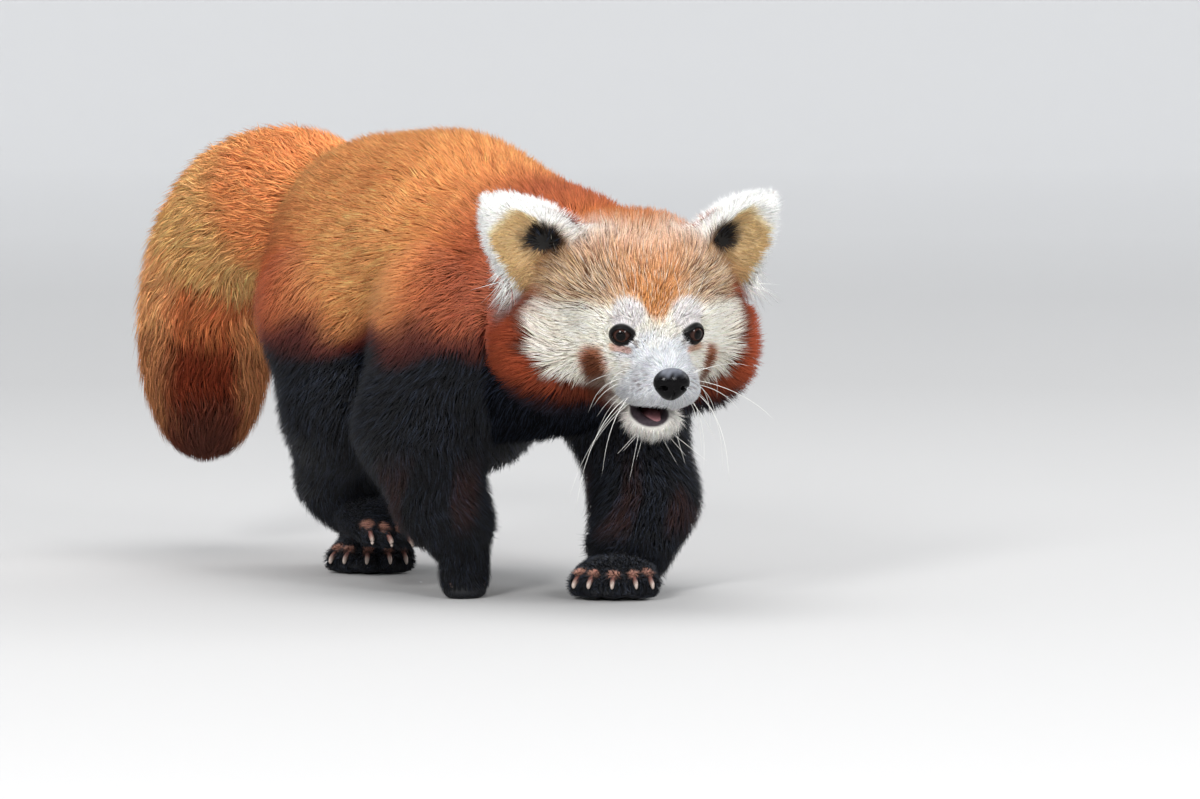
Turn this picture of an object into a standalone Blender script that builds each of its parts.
"""A life-size red panda, caught in mid-stride: two left feet planted, the right fore foot on its toe tips
and the right hind foot swinging forward.

The animal faces -Y, its left is +X and the floor is z = 0. Flesh and coat are one smooth field, a blend of
ellipsoids and tapered bars placed from the named sizes below. Each sub-part is meshed from that field and
parted from its neighbours by thin cuts. Lengths are in metres and angles in degrees.
"""

import math

import bmesh
import bpy
import numpy as np
from mathutils import Matrix, Vector

GAP = 0.0003
MERGE = 0.00004
BODY_BLEND = 0.030
HEAD_BLEND = 0.014
PAW_BLEND = 0.006

# Trunk: centre and half sizes (across, along, high) of each mass, coat included
CHEST = ((0.000, 0.040, 0.186), (0.081, 0.083, 0.088))
BARREL = ((0.000, 0.118, 0.204), (0.088, 0.100, 0.100))
RUMP = ((0.000, 0.184, 0.199), (0.084, 0.074, 0.098))
THROAT = ((-0.008, -0.012, 0.192), (0.068, 0.060, 0.072))

# Head: where its middle is, which way it looks, and how far it bows
HEAD_CENTRE = (-0.0155, -0.082, 0.180)
HEAD_AZIMUTH = -26.0
HEAD_PITCH = 9.0

# Masses of the head as (ahead, left, up) and half sizes the same way round
CRANIUM = ((-0.016, 0.000, 0.016), (0.062, 0.071, 0.060))
CHEEK = ((-0.018, 0.045, -0.014), (0.046, 0.046, 0.048))
FACE = ((0.016, 0.000, -0.004), (0.044, 0.050, 0.046))
BROW = ((0.030, 0.022, 0.016), (0.016, 0.017, 0.012))
MUZZLE_ROOT = ((0.030, 0.000, -0.016), 0.028)
MUZZLE_END = ((0.066, 0.000, -0.017), 0.0185)
LIP_PAD = ((0.060, 0.0110, -0.026), (0.020, 0.0145, 0.0095))

EYE = (0.0480, 0.0215, 0.0050)
EYE_RADIUS = 0.0085
LID_RADIUS = 0.0098
NOSE = ((0.0860, 0.0, -0.0160), (0.0078, 0.0118, 0.0092))
JAW_HINGE = ((0.008, 0.0, -0.034), 0.025)
CHIN = ((0.057, 0.0, -0.0500), 0.0090)
TONGUE = ((0.048, 0.0, -0.0405), (0.018, 0.0082, 0.0036))
EYE_TURN = 24.0
EYE_SLIT = (0.0076, 0.0060)
NOSTRIL = ((0.0925, 0.0060, -0.0175), (0.0055, 0.0028, 0.0020))

# Ears: root, tip and edges as (ahead, left, up) on the left of the head
EAR_ROOT = (-0.009, 0.053, 0.041)
EAR_TIP = (-0.026, 0.100, 0.084)
EAR_HALF_WIDTH = 0.036
EAR_HALF_THICK = 0.010

TOE_FAN = 17.0
TOE_REACH = 0.0330
CLAW_THICK = (0.0026, 0.0018)

# Parting of each limb: how far its round cuts stand out, rise or drop, and reach past the joints
UPPER_SHIFT = 0.052
UPPER_RISE = 0.012
UPPER_THICK = 0.049
UPPER_PAST = 0.040
LOWER_DROP = 0.012
LOWER_SPARE = 0.014
LOWER_PAST = 0.022

# Legs: joints from the top down, each a place and the half thickness with its coat
FRONT_LEFT = dict(
    joints=(((0.054, 0.030, 0.185), 0.054), ((0.076, 0.030, 0.125), 0.043),
            ((0.074, 0.006, 0.062), 0.0355), ((0.058, 0.002, 0.034), 0.0315)),
    paw=((0.036, -0.008, 0.014), -46.0, 0.0), kind="fore")
FRONT_RIGHT = dict(
    joints=(((-0.054, 0.045, 0.180), 0.053), ((-0.064, 0.070, 0.112), 0.044),
            ((-0.052, 0.066, 0.064), 0.031), ((-0.044, 0.058, 0.048), 0.027)),
    paw=((-0.043, 0.055, 0.0395), -14.0, 74.0), kind="fore", spread=0.45, claw_lift=40.0)
HIND_LEFT = dict(
    joints=(((0.046, 0.185, 0.180), 0.058), ((0.070, 0.172, 0.115), 0.045),
            ((0.060, 0.252, 0.058), 0.030), ((0.050, 0.252, 0.030), 0.027)),
    paw=((0.037, 0.238, 0.013), -46.0, 0.0), kind="hind")
HIND_RIGHT = dict(
    joints=(((-0.046, 0.172, 0.180), 0.055), ((-0.062, 0.148, 0.118), 0.043),
            ((-0.054, 0.167, 0.072), 0.027), ((-0.050, 0.163, 0.060), 0.025)),
    paw=((-0.047, 0.141, 0.047), 2.0, 16.0), kind="hind")
LEGS = {"front_left": FRONT_LEFT, "front_right": FRONT_RIGHT, "hind_left": HIND_LEFT, "hind_right": HIND_RIGHT}

# Tail: axis and half thickness out to the tips of its coat
TAIL = (((0.000, 0.212, 0.236), 0.043), ((0.004, 0.272, 0.250), 0.046), ((0.016, 0.342, 0.242), 0.048),
        ((0.032, 0.398, 0.200), 0.049), ((0.040, 0.420, 0.142), 0.046), ((0.040, 0.422, 0.096), 0.028))


# Locks: long coat as flat blades, each rooted in a core that lies under it
SEED = 7
LOCK_ROOT = 0.005
TAIL_CORE = 0.60
TAIL_PARTING = 8
TAIL_RINGS = (1.8, 3.4, 5.0, 6.5, 8.04, 9.6, 11.2, 12.7, 14.0)
TAIL_LOCK = (0.056, 0.0165, 0.0026)
TAIL_STAND = 1.09
TAIL_TAPER = 14.0
TAIL_RING = 7
TAIL_TIP_RING = 5
TAIL_TIP = 12.0
RUFF_LOCK = (0.044, 0.0140, 0.0026)
RUFF_RING = 4
RUFF_ROWS = (0.014, -0.004)
RUFF_AXIS = 0.030
RUFF_STAND = (-0.005, 0.0030, 0.0065, 0.0075)
RUFF_TURNS = (-92.0, 22.0)
FRINGE_LOCK = (0.034, 0.0080, 0.0020)
FRINGE_RISES = (0.02, 0.18, 0.36, 0.54)


def heading(azimuth, pitch=0.0):
    """Unit vector that looks that way: azimuth from straight ahead to the animal's left, pitch downwards."""
    a, p = math.radians(azimuth), math.radians(pitch)
    return np.array((math.sin(a) * math.cos(p), -math.cos(a) * math.cos(p), -math.sin(p)))


def local_axes(azimuth, pitch):
    """Rows are the ahead, left and up axes of something that looks that way."""
    ahead = heading(azimuth, pitch)
    left = np.cross((0.0, 0.0, 1.0), heading(azimuth))
    return np.array((ahead, left, np.cross(ahead, left)))


HEAD_AXES = local_axes(HEAD_AZIMUTH, HEAD_PITCH)


def head_point(place, side=1):
    """A place given as ahead, left and up of the head's middle; side -1 puts it on the animal's right."""
    return np.array(HEAD_CENTRE) + np.array((place[0], place[1] * side, place[2])) @ HEAD_AXES


class Blob:
    """An ellipsoid, turned to its own axes where these are given."""

    def __init__(self, centre, radii, axes=None):
        self.centre = np.array(centre, float)
        self.radii = np.array(radii, float)
        self.axes = np.eye(3) if axes is None else np.array(axes, float)
        self.reach = float(self.radii.max())

    def distance(self, points):
        local = (points - self.centre) @ self.axes.T
        near = np.linalg.norm(local / self.radii, axis=-1)
        slope = np.linalg.norm(local / self.radii**2, axis=-1)
        return near * (near - 1.0) / np.maximum(slope, 1e-9)


class Bar:
    """A round bar between two points, with a half thickness at each end."""

    def __init__(self, start, start_radius, end, end_radius):
        self.start, self.end = np.array(start, float), np.array(end, float)
        self.radii = (start_radius, end_radius)
        self.centre = (self.start + self.end) / 2
        self.reach = float(np.linalg.norm(self.end - self.start) / 2 + max(self.radii))

    def distance(self, points):
        along = self.end - self.start
        share = np.clip((points - self.start) @ along / (along @ along), 0.0, 1.0)
        radius = self.radii[0] + share * (self.radii[1] - self.radii[0])
        return np.linalg.norm(points - self.start - share[..., None] * along, axis=-1) - radius


def smooth_union(first, second, blend):
    """The nearer of two distances, rounded where they meet."""
    overlap = np.maximum(blend - np.abs(first - second), 0.0) / blend
    return np.minimum(first, second) - overlap * overlap * blend / 4


def head_shapes():
    """Skull, cheeks, brows, muzzle and lip pads."""
    shapes = [Blob(head_point(place), radii, HEAD_AXES) for place, radii in (CRANIUM, FACE)]
    shapes.append(Bar(head_point(MUZZLE_ROOT[0]), MUZZLE_ROOT[1], head_point(MUZZLE_END[0]), MUZZLE_END[1]))
    for side in (1, -1):
        shapes += [Blob(head_point(place, side), radii, HEAD_AXES) for place, radii in (CHEEK, BROW, LIP_PAD)]
    return [(shape, HEAD_BLEND) for shape in shapes]


def paw_shapes(leg):
    """Palm, heel and five toes."""
    place, azimuth, pitch = leg["paw"]
    axes = local_axes(azimuth, pitch)
    wide = 0.0270 * leg.get("spread", 1.0) ** 0.5
    shapes = [Blob(place, (0.028, wide, 0.0160), axes)]
    if leg["kind"] == "hind":
        heel = np.array(place) - 0.022 * axes[0]
        shapes.append(Blob(heel, (0.022, 0.019, 0.0145), axes))
    for start, end in toe_lines(leg):
        shapes.append(Bar(start, 0.0105, end, 0.0092))
    return [(shape, PAW_BLEND) for shape in shapes]


def toe_lines(leg):
    """Root and end of each toe, from the inner one out."""
    place, azimuth, pitch = leg["paw"]
    axes = local_axes(azimuth, pitch)
    lines = []
    for number in range(5):
        spread = math.radians((number - 2) * TOE_FAN * leg.get("spread", 1.0))
        reach = TOE_REACH - 0.0018 * abs(number - 2) ** 1.7
        root = np.array((0.010 * math.cos(spread), 0.030 * math.sin(spread), 0.000))
        end = np.array((reach * math.cos(spread), 1.45 * reach * math.sin(spread), -0.0030))
        lines.append((np.array(place) + root @ axes, np.array(place) + end @ axes))
    return lines


def claw_lines(leg):
    """Root, bend and tip of each claw."""
    _, azimuth, pitch = leg["paw"]
    axes = local_axes(azimuth, pitch)
    lift = math.radians(leg.get("claw_lift", -14.0))
    lines = []
    for start, end in toe_lines(leg):
        along = (end - start) / np.linalg.norm(end - start)
        root = end + along * 0.0045 + axes[2] * 0.0035
        bend = root + (along * math.cos(lift) + axes[2] * math.sin(lift)) * 0.0080
        tip = bend + (along * math.cos(lift - 0.7) + axes[2] * math.sin(lift - 0.7)) * 0.0050
        lines.append((root, bend, tip))
    return lines


def leg_shapes(leg):
    """Tapered bars from joint to joint, with the last one running into the palm."""
    joints = leg["joints"]
    shapes = [Bar(a, ra, b, rb) for (a, ra), (b, rb) in zip(joints, joints[1:])]
    return [(shape, BODY_BLEND if n == 0 else HEAD_BLEND) for n, shape in enumerate(shapes)] + paw_shapes(leg)


def curve_points(stations, count):
    """Places and half thicknesses along a smooth line through the stations, evenly spaced in number."""
    rows = np.array([(*place, radius) for place, radius in stations])
    rows = np.vstack((2 * rows[0] - rows[1], rows, 2 * rows[-1] - rows[-2]))
    found = []
    for share in np.linspace(0, len(stations) - 1, count):
        i = min(int(share), len(stations) - 2)
        t = share - i
        a, b, c, d = rows[i:i + 4]
        square, cube = 2 * a - 5 * b + 4 * c - d, 3 * b - a - 3 * c + d
        found.append(0.5 * (2 * b + (c - a) * t + square * t**2 + cube * t**3))
    return np.array(found)


def tail_shapes(core=False):
    """Bars along the tail, out to the tips of its coat or only out to its core."""
    rows = curve_points(TAIL, 16)
    if core:
        rows[:, 3] *= np.clip(1.34 - 0.17 * np.arange(16), TAIL_CORE, 1.0)
        rows = rows[:-1]
    return [(Bar(a[:3], a[3], b[:3], b[3]), 0.012) for a, b in zip(rows, rows[1:])]


def body_shapes():
    """Everything in the common field: first trunk, tail and head, then each leg by itself."""
    trunk = [(Blob(*mass), BODY_BLEND) for mass in (CHEST, BARREL, RUMP, THROAT)]
    return [trunk + tail_shapes() + head_shapes()] + [leg_shapes(leg) for leg in LEGS.values()]


def field(groups, points):
    """Distance to the body. Each leg blends into the trunk, but never into another leg."""
    trunk = blended(None, groups[0], points)
    limbs = [blended(trunk, group, points) for group in groups[1:]]
    return np.minimum.reduce([total for total in (trunk, *limbs) if total is not None])


def blended(total, shapes, points):
    for shape, blend in shapes:
        distance = shape.distance(points)
        total = distance if total is None else smooth_union(total, distance, blend)
    return total


def surface_net(values, origin, step):
    """Points and quads of the closed surface where the grid's values change sign."""
    cells = tuple(n - 1 for n in values.shape)
    total, count = np.zeros(cells + (3,)), np.zeros(cells)
    edges = []
    for axis in range(3):
        low = np.take(values, range(values.shape[axis] - 1), axis)
        high = np.take(values, range(1, values.shape[axis]), axis)
        crossed = np.argwhere((low < 0) != (high < 0))
        at = tuple(crossed.T)
        place = crossed.astype(float)
        place[:, axis] += low[at] / (low[at] - high[at])
        others = [(axis + 1) % 3, (axis + 2) % 3]
        corners = []
        for shift in ((0, 0), (-1, 0), (-1, -1), (0, -1)):
            cell = crossed.copy()
            cell[:, others] += shift
            corners.append(cell)
            np.add.at(total, tuple(cell.T), place)
            np.add.at(count, tuple(cell.T), 1)
        edges.append((corners, low[at] < 0))
    index = np.full(cells, -1)
    index[count > 0] = np.arange((count > 0).sum())
    points = origin + step * total[count > 0] / count[count > 0][:, None]
    quads = []
    for corners, inward in edges:
        found = np.stack([index[tuple(cell.T)] for cell in corners], axis=1)
        found[~inward] = found[~inward, ::-1]
        quads.append(found)
    return points, np.concatenate(quads)


def new_object(name, points, faces):
    mesh = bpy.data.meshes.new(name)
    mesh.from_pydata([tuple(p) for p in points], [], [tuple(int(i) for i in f) for f in faces])
    mesh.update()
    made = bpy.data.objects.new(name, mesh)
    bpy.context.scene.collection.objects.link(made)
    return made


def bake_modifiers(obj):
    """Puts the evaluated mesh in place of the object's own and drops its modifiers."""
    bpy.context.view_layer.update()
    graph = bpy.context.evaluated_depsgraph_get()
    mesh = bpy.data.meshes.new_from_object(obj.evaluated_get(graph))
    obj.modifiers.clear()
    obj.data = mesh


def mesh_field(name, shapes, low, high, step, triangles):
    """The part of the field inside a box, as a closed mesh of about that many triangles."""
    for shift in (2.0, 2.13, 2.29, 2.41):
        points, quads = net_of_box(shapes, np.array(low) - shift * step, np.array(high) + 2 * step, step)
        ends = np.sort(np.stack((quads, np.roll(quads, -1, axis=1)), axis=-1).reshape(-1, 2), axis=1)
        if (np.unique(ends, axis=0, return_counts=True)[1] == 2).all():
            break
    made = new_object(name, points, quads)
    made.modifiers.new("triangles", "TRIANGULATE")
    fewer = made.modifiers.new("fewer", "DECIMATE")
    fewer.ratio = min(1.0, triangles / (2 * len(quads)))
    bake_modifiers(made)
    return made


def net_of_box(shapes, low, high, step):
    """Surface net of the field, closed off by the walls of the box."""
    middle, reach = (low + high) / 2, np.linalg.norm(high - low) / 2
    near = [[s for s in group if np.linalg.norm(s[0].centre - middle) < reach + s[0].reach + BODY_BLEND]
            for group in shapes]
    counts = np.ceil((high - low) / step).astype(int) + 1
    grid = np.stack(np.meshgrid(*[low[i] + step * np.arange(counts[i]) for i in range(3)], indexing="ij"), -1)
    wall = np.full(grid.shape[:3], -1.0)
    for axis in range(3):
        edge = np.minimum(np.arange(counts[axis]), counts[axis] - 1 - np.arange(counts[axis]))
        shape = [1, 1, 1]
        shape[axis] = counts[axis]
        wall = np.maximum(wall, ((1.0 - edge) * step).reshape(shape))
    return surface_net(np.maximum(field(near, grid), wall), low, step)


def ellipsoid_object(name, centre, radii, axes=None, segments=24, rings=14):
    """A closed ellipsoid mesh."""
    mesh = bpy.data.meshes.new(name)
    shape = bmesh.new()
    bmesh.ops.create_uvsphere(shape, u_segments=segments, v_segments=rings, radius=1.0)
    turn = np.eye(3) if axes is None else np.array(axes)
    for vertex in shape.verts:
        vertex.co = Vector(np.array(centre) + (np.array(vertex.co) * np.array(radii)) @ turn)
    shape.to_mesh(mesh)
    shape.free()
    made = bpy.data.objects.new(name, mesh)
    bpy.context.scene.collection.objects.link(made)
    return made


def half_space(name, place, normal, size=0.6):
    """A big block that fills the side of a plane that its normal points to."""
    mesh = bpy.data.meshes.new(name)
    shape = bmesh.new()
    bmesh.ops.create_cube(shape, size=size)
    turn = Vector(normal).to_track_quat("Z", "Y").to_matrix().to_4x4()
    centre = Vector(place) + Vector(normal).normalized() * size / 2
    bmesh.ops.transform(shape, matrix=Matrix.Translation(centre) @ turn, verts=shape.verts)
    shape.to_mesh(mesh)
    shape.free()
    made = bpy.data.objects.new(name, mesh)
    bpy.context.scene.collection.objects.link(made)
    return made


def combine(obj, other, operation):
    """A Boolean of two closed meshes, baked into the first. The other is used up."""
    modifier = obj.modifiers.new(operation, "BOOLEAN")
    modifier.operation = operation
    modifier.solver = "MANIFOLD"
    modifier.object = other
    bake_modifiers(obj)
    bpy.data.objects.remove(other)


class PlaneCut:
    """A flat cut. The near side is the one that the normal points to."""

    def __init__(self, place, normal):
        self.place, self.normal = np.array(place, float), np.array(normal, float)
        self.normal /= np.linalg.norm(self.normal)

    def trim(self, obj, side):
        start = self.place + self.normal * side * GAP / 2
        combine(obj, half_space("cutter", start, self.normal * side), "INTERSECT")


class RoundCut:
    """A cut along an ellipsoid. The near side is its inside."""

    def __init__(self, centre, radii, axes=None):
        self.centre, self.radii, self.axes = centre, np.array(radii, float), axes

    def trim(self, obj, side):
        radii = self.radii - side * GAP / 2
        cutter = ellipsoid_object("cutter", self.centre, radii, self.axes, 16, 10)
        combine(obj, cutter, "INTERSECT" if side > 0 else "DIFFERENCE")

    def corners(self):
        """Two corners of the upright box around the ellipsoid."""
        half = np.sqrt(((self.axes * self.radii[:, None]) ** 2).sum(axis=0))
        return self.centre - half, self.centre + half


def keep_largest(obj):
    """Drops loose scraps and sealed hollows: only the island with the largest volume stays."""
    shape = bmesh.new()
    shape.from_mesh(obj.data)
    bmesh.ops.remove_doubles(shape, verts=shape.verts, dist=1e-6)
    left, islands = set(shape.faces), []
    while left:
        stack, island = [left.pop()], []
        while stack:
            face = stack.pop()
            island.append(face)
            for edge in face.edges:
                for other in edge.link_faces:
                    if other in left:
                        left.discard(other)
                        stack.append(other)
        islands.append(island)

    def volume(island):
        return sum(f.verts[0].co.dot(f.verts[i].co.cross(f.verts[i + 1].co)) / 6
                   for f in island for i in range(1, len(f.verts) - 1))

    islands.sort(key=volume)
    extra = [face for island in islands[:-1] for face in island]
    bmesh.ops.delete(shape, geom=extra, context="FACES")
    closed = shape.copy()
    bmesh.ops.remove_doubles(shape, verts=shape.verts, dist=MERGE)
    bmesh.ops.dissolve_degenerate(shape, edges=shape.edges, dist=MERGE)
    sound = all(edge.is_manifold for edge in shape.edges) and all(vertex.is_manifold for vertex in shape.verts)
    (shape if sound else closed).to_mesh(obj.data)
    shape.free()
    closed.free()


def inflated(obj, amount=1.2 * GAP):
    """A copy whose surface stands off by a little, to cut a neighbour clear of the original."""
    copy = obj.copy()
    copy.data = obj.data.copy()
    bpy.context.scene.collection.objects.link(copy)
    shape = bmesh.new()
    shape.from_mesh(copy.data)
    shape.normal_update()
    moves = [(v, v.normal * amount * min(v.calc_shell_factor(), 2.0)) for v in shape.verts]
    for vertex, move in moves:
        vertex.co += move
    shape.to_mesh(copy.data)
    shape.free()
    return copy


def clear(obj, other):
    """Cuts the first clear of the second, with a gap between them."""
    combine(obj, inflated(other), "DIFFERENCE")
    combine(obj, inflated(other, 0.0), "DIFFERENCE")
    keep_largest(obj)


def between(start, end, thickness, spare):
    """A round cut about the line between two places, reaching past both of them."""
    start, end = np.array(start), np.array(end)
    along = (end - start) / np.linalg.norm(end - start)
    across = np.cross(along, (0.0, 1.0, 0.0))
    across /= np.linalg.norm(across)
    axes = np.array((along, across, np.cross(along, across)))
    half = np.linalg.norm(end - start) / 2
    return RoundCut((start + end) / 2, (half + spare, thickness, thickness), axes)


def make_cuts():
    """Every place where two sub-parts meet."""
    cuts = {
        "neck_head": PlaneCut(head_point((-0.040, 0, 0)), HEAD_AXES[0]),
        "neck_base": PlaneCut((0.0, 0.004, 0.200), (-0.10, -0.85, 0.50)),
        "tail_base": PlaneCut((0.0, 0.250, 0.240), (0.02, 1.0, 0.18)),
        "floor": PlaneCut((0, 0, -GAP / 2), (0, 0, 1)),
    }
    for name, leg in LEGS.items():
        joints = [np.array(place) for place, _ in leg["joints"]]
        outward = np.array((math.copysign(UPPER_SHIFT, joints[0][0]), 0.0, 0.0))
        top = joints[0] + outward + (0, 0, UPPER_RISE)
        cuts[name + "_upper"] = between(top, joints[1] + outward, UPPER_THICK, UPPER_PAST)
        lower_thick = leg["joints"][1][1] + LOWER_SPARE
        cuts[name + "_lower"] = between(joints[1] - (0, 0, LOWER_DROP), joints[-1], lower_thick, LOWER_PAST)
        cuts[name + "_paw"] = PlaneCut(joints[-1], joints[-2] - np.array(leg["paw"][0]))
    rows = curve_points(TAIL, 16)[:, :3]
    cuts["tail_end"] = PlaneCut(rows[TAIL_PARTING], rows[TAIL_PARTING + 1] - rows[TAIL_PARTING - 1])
    return cuts


def box_around(places, margin):
    places = np.array(places)
    return places.min(axis=0) - margin, places.max(axis=0) + margin


def make_flesh(name, shapes, cuts, places, margin, step, triangles, sides):
    """One node of the common field: meshed in its own box, then trimmed by its cuts."""
    low, high = box_around(places, margin)
    low[2] = max(low[2], -0.012)
    made = mesh_field(name, shapes, low, high, step, triangles)
    for cut, side in sides.items():
        cuts[cut].trim(made, side)
    keep_largest(made)
    return made


def make_torso(shapes, cuts):
    sides = {"neck_base": -1, "tail_base": -1}
    for leg in LEGS:
        sides.update({leg + "_upper": -1, leg + "_lower": -1})
    ends = ((-0.095, -0.050, 0.088), (0.095, 0.262, 0.305))
    return make_flesh("torso", shapes, cuts, ends, 0.004, 0.0065, 1060, sides)


def make_neck(shapes, cuts):
    sides = {"neck_base": 1, "neck_head": -1}
    ends = ((-0.085, -0.095, 0.105), (0.085, 0.055, 0.275))
    return make_flesh("neck", shapes, cuts, ends, 0.006, 0.0065, 560, sides)


def make_legs(shapes, cuts):
    made = []
    for (name, leg), own in zip(LEGS.items(), shapes[1:]):
        fore = leg["kind"] == "fore"
        top, low, foot = ("upper_arm_", "forearm_", "fore_paw_") if fore else ("thigh_", "shank_", "hind_paw_")
        side = name.split("_")[1]
        neck = {"neck_base": -1} if fore else {}
        made.append(make_flesh(top + side, shapes, cuts, cuts[name + "_upper"].corners(), 0.002, 0.006, 330,
                               {name + "_upper": 1, **neck}))
        sides = {name + "_lower": 1, name + "_upper": -1, name + "_paw": 1}
        corners = cuts[name + "_lower"].corners()
        made.append(make_flesh(low + side, [shapes[0], own], cuts, corners, 0.002, 0.0055, 320, sides))
        ends = [end for line in toe_lines(leg) for end in line] + [leg["paw"][0], leg["joints"][-1][0]]
        paw = make_flesh(foot + side, [[], own], cuts, ends, 0.022, 0.0028, 350, {name + "_paw": -1})
        for line in claw_lines(leg):
            combine(paw, claw(line), "UNION")
        cuts["floor"].trim(paw, 1)
        keep_largest(paw)
        made.append(paw)
    return made


def claw(line):
    """A bent spike with five sides."""
    root, bend, tip = line
    along = (bend - root) / np.linalg.norm(bend - root)
    across = np.cross(along, (0.1, 0.2, 1.0))
    across /= np.linalg.norm(across)
    points = []
    for place, thick in zip((root, bend), CLAW_THICK):
        for turn in range(5):
            angle = 2 * math.pi * turn / 5
            points.append(place + (across * math.cos(angle) + np.cross(along, across) * math.sin(angle)) * thick)
    points.append(tip)
    faces = [(4, 3, 2, 1, 0)]
    faces += [(i, (i + 1) % 5, 5 + (i + 1) % 5, 5 + i) for i in range(5)]
    faces += [(5 + i, 5 + (i + 1) % 5, 10) for i in range(5)]
    return new_object("claw", points, faces)


def blade(places, across, faces_out, widths, thicks):
    """A flat tapered lock: four-sided sections along its line, then a point."""
    points = []
    for place, side, out, width, thick in zip(places[:-1], across, faces_out, widths, thicks):
        points += [place + side * width, place + out * thick, place - side * width, place - out * thick]
    points.append(places[-1])
    last = len(points) - 1
    faces = [(0, 1, 2, 3)]
    for k in range(len(places) - 2):
        faces += [(4 * k + i, 4 * k + 4 + i, 4 * k + 4 + (i + 1) % 4, 4 * k + (i + 1) % 4) for i in range(4)]
    faces += [(last - 4 + i, last, last - 4 + (i + 1) % 4) for i in range(4)]
    return new_object("lock", points, faces)


def lock_along(line, across, size):
    """A lock along a bent line of places. Its flat side faces away from the body."""
    places = np.array(line)
    steps = np.gradient(places, axis=0)
    steps /= np.linalg.norm(steps, axis=1)[:, None]
    outs = np.cross(steps, across)
    outs /= np.linalg.norm(outs, axis=1)[:, None]
    sides = np.cross(outs, steps)
    share = np.linspace(0, 1, len(line))
    return blade(places, sides, outs, size[1] * (1 - 0.55 * share**2), size[2] * (1 - 0.4 * share))


def fuse(obj, locks):
    """One union of all locks with their core."""
    group = bpy.data.collections.new("locks")
    bpy.context.scene.collection.children.link(group)
    for lock in locks:
        bpy.context.scene.collection.objects.unlink(lock)
        group.objects.link(lock)
        ensure_outward(lock)
    modifier = obj.modifiers.new("fuse", "BOOLEAN")
    modifier.operation = "UNION"
    modifier.operand_type = "COLLECTION"
    modifier.collection = group
    modifier.solver = "MANIFOLD"
    bake_modifiers(obj)
    for lock in locks:
        bpy.data.objects.remove(lock)
    bpy.data.collections.remove(group)


def ensure_outward(obj):
    shape = bmesh.new()
    shape.from_mesh(obj.data)
    if shape.calc_volume(signed=True) < 0:
        bmesh.ops.reverse_faces(shape, faces=shape.faces)
        shape.to_mesh(obj.data)
    shape.free()


def tail_at(rows, at):
    """Centre, half thickness and two directions across the tail at a place along it."""
    number = np.arange(len(rows))
    inside = min(at, number[-1])
    centre = np.array([np.interp(inside, number, rows[:, i]) for i in range(3)])
    ahead = np.array([np.interp(inside, number, np.gradient(rows[:, i])) for i in range(3)])
    centre = centre + ahead * (at - inside)
    past = max(0.0, at - TAIL_TAPER)
    radius = np.interp(at, number, rows[:, 3]) * max(0.0, 1.0 - 0.30 * past**1.2)
    ahead /= np.linalg.norm(ahead)
    side = np.cross(np.cross(ahead, (1.0, 0.0, 0.0)), ahead)
    side /= np.linalg.norm(side)
    return centre, radius, ahead, side, np.cross(ahead, side)


def tail_locks():
    """Rings of locks that lie back along the tail, each ring over the roots of the next."""
    rows = curve_points(TAIL, 16)
    chance = np.random.default_rng(SEED)
    locks = []
    for ring, start in enumerate(TAIL_RINGS):
        count = TAIL_RING if start < TAIL_TIP else TAIL_TIP_RING
        for number in range(count):
            turn = 2 * math.pi * (number + 0.5 * (ring % 2) + chance.uniform(-0.16, 0.16)) / count
            length = TAIL_LOCK[0] * chance.uniform(0.85, 1.12)
            swing = chance.uniform(-0.22, 0.22)
            line = []
            for share in (0.0, 0.33, 0.70, 1.0):
                at = start + share * length / rows_step(rows)
                centre, radius, ahead, side, other = tail_at(rows, at)
                angle = turn + swing * share
                out = side * math.cos(angle) + other * math.sin(angle)
                low = max(TAIL_CORE * radius - LOCK_ROOT, 0.0)
                high = radius * TAIL_STAND * chance.uniform(0.97, 1.0)
                line.append(centre + out * (low + (high - low) * (1 - (1 - share) ** 2.6)))
                if share == 0.0:
                    across = np.cross(ahead, out)
            locks.append(lock_along(line, across, (length, *TAIL_LOCK[1:])))
    return locks


def rows_step(rows):
    return float(np.linalg.norm(np.diff(rows[:, :3], axis=0), axis=1).mean())


def make_tail(shapes, cuts):
    """The whole tail with its locks, then its two lengths cut from it."""
    rows = curve_points(TAIL, 16)
    trunk = shapes[0][:4] + tail_shapes(core=True)
    low, high = box_around(rows[2:, :3], 0.050)
    whole = mesh_field("tail", [trunk], low, high, 0.0065, 460)
    cuts["tail_base"].trim(whole, 1)
    keep_largest(whole)
    fuse(whole, tail_locks())
    made = []
    for name, sides in (("tail_base", {"tail_base": 1, "tail_end": -1}), ("tail_end", {"tail_end": 1})):
        piece = whole.copy()
        piece.name, piece.data = name, whole.data.copy()
        bpy.context.scene.collection.objects.link(piece)
        for cut, side in sides.items():
            cuts[cut].trim(piece, side)
        keep_largest(piece)
        made.append(piece)
    bpy.data.objects.remove(whole)
    return made


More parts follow.
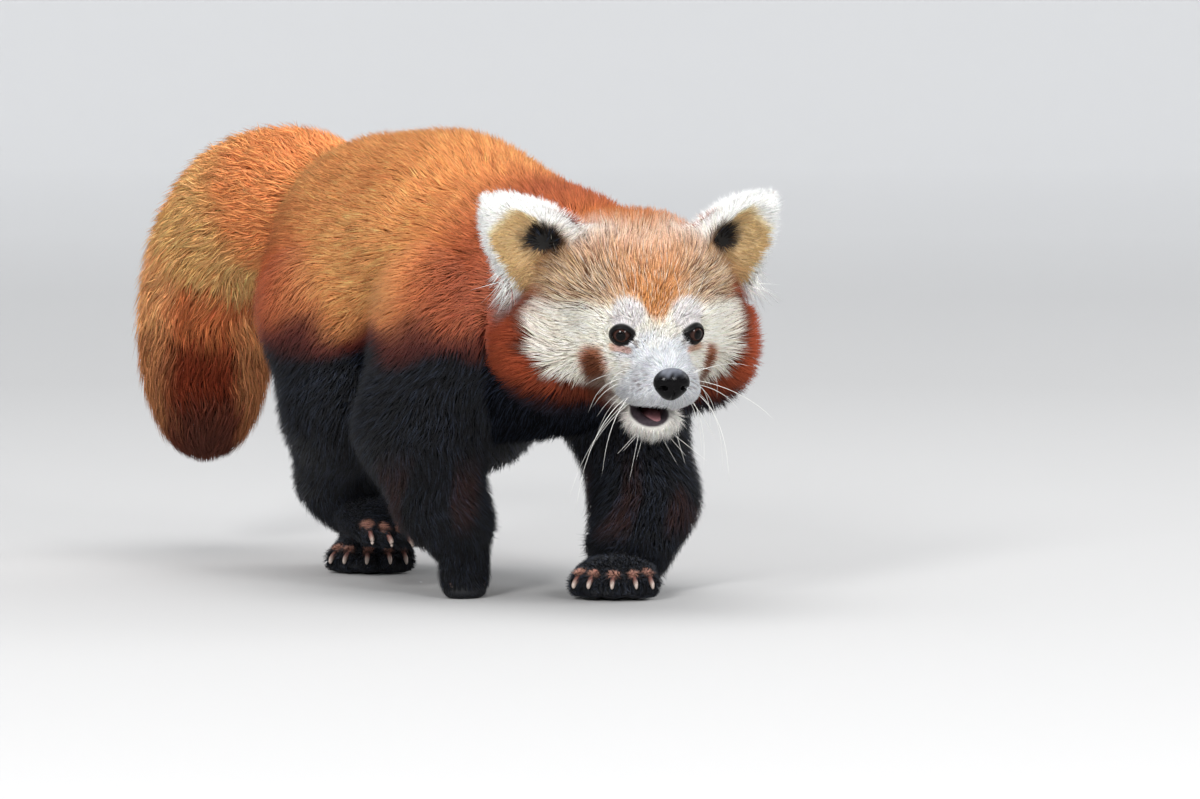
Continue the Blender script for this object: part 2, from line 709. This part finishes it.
def lens_prism(name, centre, axes, half_width, half_height, depth, count=14):
    """A prism with an almond outline that runs ahead from its centre, to open the lids."""
    shape = bmesh.new()
    ring = []
    for i in range(count):
        turn = 2 * math.pi * i / count
        across = half_width * math.cos(turn)
        high = half_height * math.sin(turn) * (1 - 0.25 * math.cos(turn) ** 2)
        ring.append(shape.verts.new(Vector(np.array(centre) + np.array((0.0, across, high)) @ axes)))
    face = shape.faces.new(ring)
    grown = bmesh.ops.extrude_face_region(shape, geom=[face])
    top = [v for v in grown["geom"] if isinstance(v, bmesh.types.BMVert)]
    bmesh.ops.translate(shape, vec=Vector(axes[0]) * depth, verts=top)
    shape.normal_update()
    bmesh.ops.recalc_face_normals(shape, faces=shape.faces)
    mesh = bpy.data.meshes.new(name)
    shape.to_mesh(mesh)
    shape.free()
    made = bpy.data.objects.new(name, mesh)
    bpy.context.scene.collection.objects.link(made)
    return made


def cheek_place(out, turn):
    """Left and up of a place that far out from the middle of a cheek."""
    return RUFF_AXIS + out * math.cos(turn), CHEEK[0][2] + out * math.sin(turn)


def face_out(shapes, ahead, side, turn):
    """Distance from the middle of a cheek out to the head's surface, across the way the head looks."""
    reach = np.linspace(0.010, 0.100, 61)
    places = np.array([head_point((ahead, *cheek_place(out, turn)), side) for out in reach])
    return reach[np.argmax(field([shapes[0]], places) > 0)]


def ruff_locks(shapes):
    """Two rows of locks on each cheek, swept back from the face and rising out of its coat."""
    chance = np.random.default_rng(SEED + 1)
    locks = []
    for side in (1, -1):
        for row, start in enumerate(RUFF_ROWS):
            for number in range(RUFF_RING):
                share = (number + 0.5 * row) / (RUFF_RING - 0.5)
                turn = math.radians(np.interp(share, (0, 1), RUFF_TURNS) + chance.uniform(-4.0, 4.0))
                line = []
                for share, stand in zip((0.0, 0.35, 0.72, 1.0), RUFF_STAND):
                    ahead = start - share * RUFF_LOCK[0] * chance.uniform(0.94, 1.04)
                    coat = min(face_out(shapes, ahead, side, turn), face_out(shapes, start, side, turn) + 0.004)
                    left, up = cheek_place(coat + stand, turn)
                    line.append(head_point((ahead, left, up), side))
                across = np.array((0.0, -math.sin(turn) * side, math.cos(turn))) @ HEAD_AXES
                locks.append(lock_along(line, across, RUFF_LOCK))
    return locks


def make_head(shapes, cuts):
    """The head with its lids, and the eyes that sit behind them."""
    corners = [head_point((a, b, c)) for a in (-0.048, 0.084) for b in (-0.082, 0.082) for c in (-0.062, 0.078)]
    head = make_flesh("head", shapes, cuts, corners, 0.004, 0.0038, 1400, {"neck_head": 1, "neck_base": 1})
    fuse(head, ruff_locks(shapes))
    cuts["neck_head"].trim(head, 1)
    cuts["neck_base"].trim(head, 1)
    keep_largest(head)
    eyes = []
    for side, word in ((1, "left"), (-1, "right")):
        centre = head_point(EYE, side)
        axes = local_axes(HEAD_AZIMUTH + side * EYE_TURN, HEAD_PITCH)
        combine(head, ellipsoid_object("lid", centre, (LID_RADIUS,) * 3, axes, 20, 12), "UNION")
        combine(head, ellipsoid_object("socket", centre, (EYE_RADIUS + GAP,) * 3, axes, 20, 12), "DIFFERENCE")
        combine(head, lens_prism("slit", centre, axes, *EYE_SLIT, 0.03), "DIFFERENCE")
        eyes.append(ellipsoid_object("eye_" + word, centre, (EYE_RADIUS,) * 3, axes, 14, 9))
    return head, eyes


def make_nose():
    """The nose pad with its two nostrils."""
    centre, radii = NOSE
    lower = (centre[0] - 0.003, 0.0, centre[2] - 0.005)
    shapes = [[(Blob(head_point(centre), radii, HEAD_AXES), 0.004),
               (Blob(head_point(lower), (0.0075, 0.0070, 0.0070), HEAD_AXES), 0.004)]]
    low, high = box_around([head_point(centre)], 0.018)
    nose = mesh_field("nose", shapes, low, high, 0.0014, 170)
    for side in (1, -1):
        axes = local_axes(HEAD_AZIMUTH + side * 35.0, HEAD_PITCH)
        nostril = ellipsoid_object("nostril", head_point(NOSTRIL[0], side), NOSTRIL[1], axes, 10, 6)
        combine(nose, nostril, "DIFFERENCE")
    keep_largest(nose)
    return nose


def make_jaw(head):
    """The lower jaw and the tongue that lies on it."""
    shapes = [[(Bar(head_point(JAW_HINGE[0]), JAW_HINGE[1], head_point(CHIN[0]), CHIN[1]), 0.004)]]
    low, high = box_around([head_point(JAW_HINGE[0]), head_point(CHIN[0])], 0.028)
    jaw = mesh_field("lower_jaw", shapes, low, high, 0.003, 260)
    clear(jaw, head)
    axes = local_axes(HEAD_AZIMUTH, HEAD_PITCH + 8.0)
    tongue = ellipsoid_object("tongue", head_point(TONGUE[0]), TONGUE[1], axes, 14, 8)
    clear(tongue, jaw)
    clear(tongue, head)
    return jaw, tongue


def ear_axes(side):
    """Rows run from the ear's root to its tip, across it, and out of its cup."""
    along = head_point(EAR_TIP, side) - head_point(EAR_ROOT, side)
    along /= np.linalg.norm(along)
    facing = local_axes(HEAD_AZIMUTH + side * 18.0, HEAD_PITCH)[0]
    facing -= along * (facing @ along)
    facing /= np.linalg.norm(facing)
    return np.array((along, np.cross(facing, along), facing))


class Ear:
    """A leaf-shaped shell, wide at its root, with a cup scooped from its front."""

    def __init__(self, side):
        self.axes = ear_axes(side)
        self.root, tip = head_point(EAR_ROOT, side), head_point(EAR_TIP, side)
        self.length = float(np.linalg.norm(tip - self.root))
        self.centre, self.reach = (self.root + tip) / 2, 0.07

    def distance(self, points):
        local = (points - self.root) @ self.axes.T
        rise = local[..., 0] / self.length
        width = EAR_HALF_WIDTH * np.clip(1.0 - np.clip(rise, 0, 1) ** 1.9, 0.02, 1) ** 0.75
        across, out = local[..., 1], local[..., 2]
        over = np.maximum(local[..., 0] - 0.86 * self.length, 0) / 0.14 / self.length
        leaf = np.sqrt((across / width) ** 2 + ((out - 4.0 * across**2) / EAR_HALF_THICK) ** 2 + over**2) - 1.0
        leaf = leaf * EAR_HALF_THICK * 0.8
        cup = Blob((0.34 * self.length, 0.0, 0.0125), (0.50 * self.length, 0.60 * EAR_HALF_WIDTH, 0.0150))
        hollow = cup.distance(local)
        return -smooth_union(-leaf, hollow, 0.003)


def make_ears(head):
    made = []
    for side, word in ((1, "left"), (-1, "right")):
        ear = Ear(side)
        low, high = box_around([ear.root, head_point(EAR_TIP, side)], 0.040)
        obj = mesh_field("ear_" + word, [[(ear, 0.002)]], low, high, 0.0025, 400)
        fuse(obj, fringe_locks(ear, side))
        clear(obj, head)
        made.append(obj)
    return made


def fringe_locks(ear, side):
    """White locks that hang from the lower edge of the ear, longest at its root."""
    chance = np.random.default_rng(SEED + 2)
    along, across, facing = ear.axes
    down = -side * across
    locks = []
    for rise in FRINGE_RISES:
        width = EAR_HALF_WIDTH * (1.0 - rise**1.9) ** 0.75
        root = ear.root + along * rise * ear.length + down * (width - 0.007) + facing * 0.001
        way = down * 0.92 + along * (0.36 + chance.uniform(-0.1, 0.1)) - facing * 0.06
        length = FRINGE_LOCK[0] * (1.0 - 0.7 * rise)
        line = [root + way * length * share + (0, 0, -0.005 * share**2) for share in (0.0, 0.4, 0.75, 1.0)]
        locks.append(lock_along(line, along, FRINGE_LOCK))
    return locks


def finish(obj, colour, roughness):
    """Gives a node its material and smooth shading."""
    material = bpy.data.materials.get(colour[0]) or bpy.data.materials.new(colour[0])
    material.use_nodes = True
    shader = material.node_tree.nodes["Principled BSDF"]
    shader.inputs["Base Color"].default_value = (*colour[1], 1.0)
    shader.inputs["Roughness"].default_value = roughness
    shader.inputs["Metallic"].default_value = 0.0
    obj.data.materials.clear()
    obj.data.materials.append(material)
    obj.data.shade_smooth()
    obj.data.set_sharp_from_angle(angle=math.radians(50))


RED_COAT = ("red_coat", (0.42, 0.13, 0.035))
BLACK_COAT = ("black_coat", (0.015, 0.013, 0.014))
FACE_COAT = ("face_coat", (0.62, 0.52, 0.42))
WHITE_COAT = ("white_coat", (0.80, 0.78, 0.74))
DARK_SKIN = ("dark_skin", (0.012, 0.010, 0.010))
PINK_SKIN = ("pink_skin", (0.40, 0.14, 0.13))
EYE_BROWN = ("eye_brown", (0.020, 0.009, 0.006))


def colour_of(name):
    if name.startswith("eye"):
        return EYE_BROWN, 0.08
    if name == "nose":
        return DARK_SKIN, 0.35
    if name == "tongue":
        return PINK_SKIN, 0.4
    if name == "head":
        return FACE_COAT, 0.9
    if name.startswith("ear") or name == "lower_jaw":
        return WHITE_COAT, 0.9
    black = ("upper_arm", "forearm", "fore_paw", "thigh", "shank", "hind_paw")
    return (BLACK_COAT if name.startswith(black) else RED_COAT), 0.9


def stand_on_origin(objects):
    """Moves the whole animal so that its box stands on the origin, with the middle of its base there."""
    corners = np.array([v.co for obj in objects for v in obj.data.vertices])
    low, high = corners.min(axis=0), corners.max(axis=0)
    shift = Matrix.Translation((-(low[0] + high[0]) / 2, -(low[1] + high[1]) / 2, -low[2]))
    for obj in objects:
        obj.data.transform(shift)


def main():
    for obj in list(bpy.data.objects):
        bpy.data.objects.remove(obj)
    shapes, cuts = body_shapes(), make_cuts()
    head, eyes = make_head(shapes, cuts)
    nose = make_nose()
    clear(head, nose)
    jaw, tongue = make_jaw(head)
    nodes = [make_torso(shapes, cuts), make_neck(shapes, cuts), head, nose, jaw, tongue, *eyes]
    nodes += make_ears(head) + make_legs(shapes, cuts) + make_tail(shapes, cuts)
    stand_on_origin(nodes)
    for obj in nodes:
        finish(obj, *colour_of(obj.name))


main()
